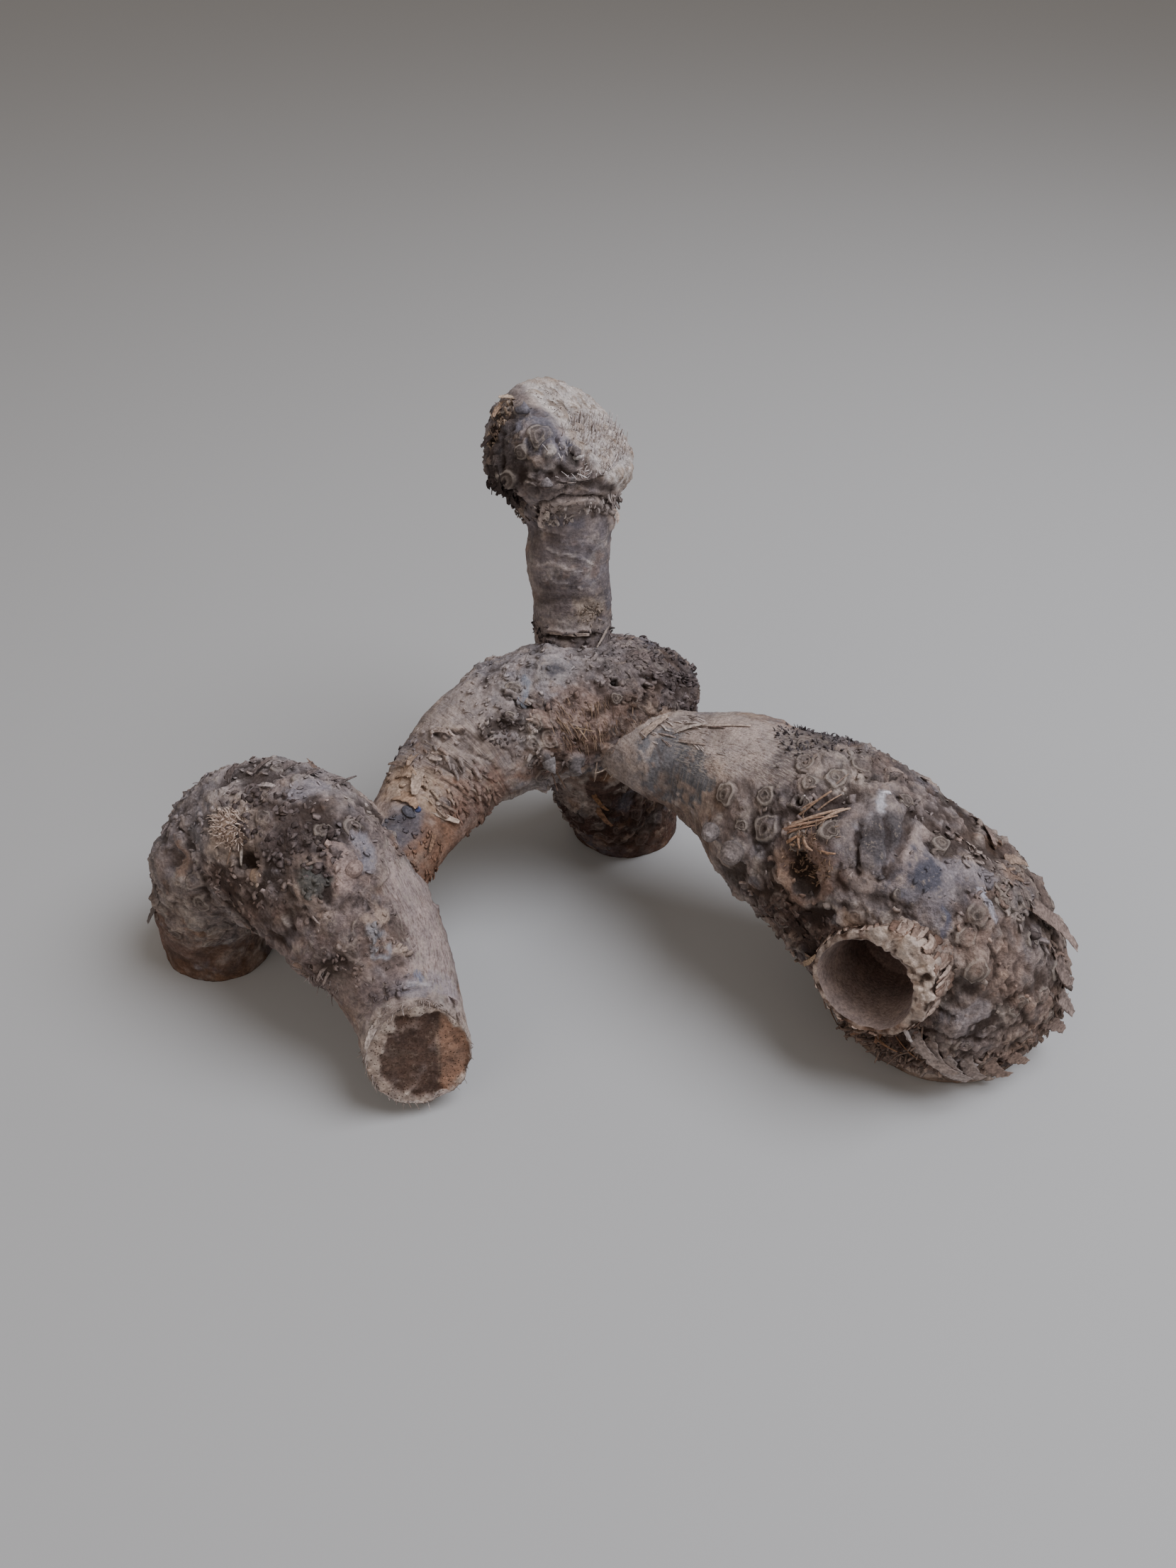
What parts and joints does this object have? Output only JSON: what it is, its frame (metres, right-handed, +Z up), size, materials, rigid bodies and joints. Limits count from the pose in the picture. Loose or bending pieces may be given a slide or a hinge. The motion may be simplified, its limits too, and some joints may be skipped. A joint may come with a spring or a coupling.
{
  "type": "dry bamboo rhizome",
  "caption": "Dried clumping-bamboo rhizome: swollen knobbly limbs on slim ringed necks in one woody piece, with a hollow cane stub.",
  "frame": {"origin": "on the ground, under the middle of the piece's outer box", "axes": "+Z up from the ground, +X along the longest extent from the left limb to the right limb, -Y the side it is seen from"},
  "size_m": [0.3969, 0.2221, 0.225],
  "materials": {
    "bark": "matte, dry and rough"
  },
  "bodies": {
    "root": {"rhizome": "bark"}
  },
  "joints": []
}
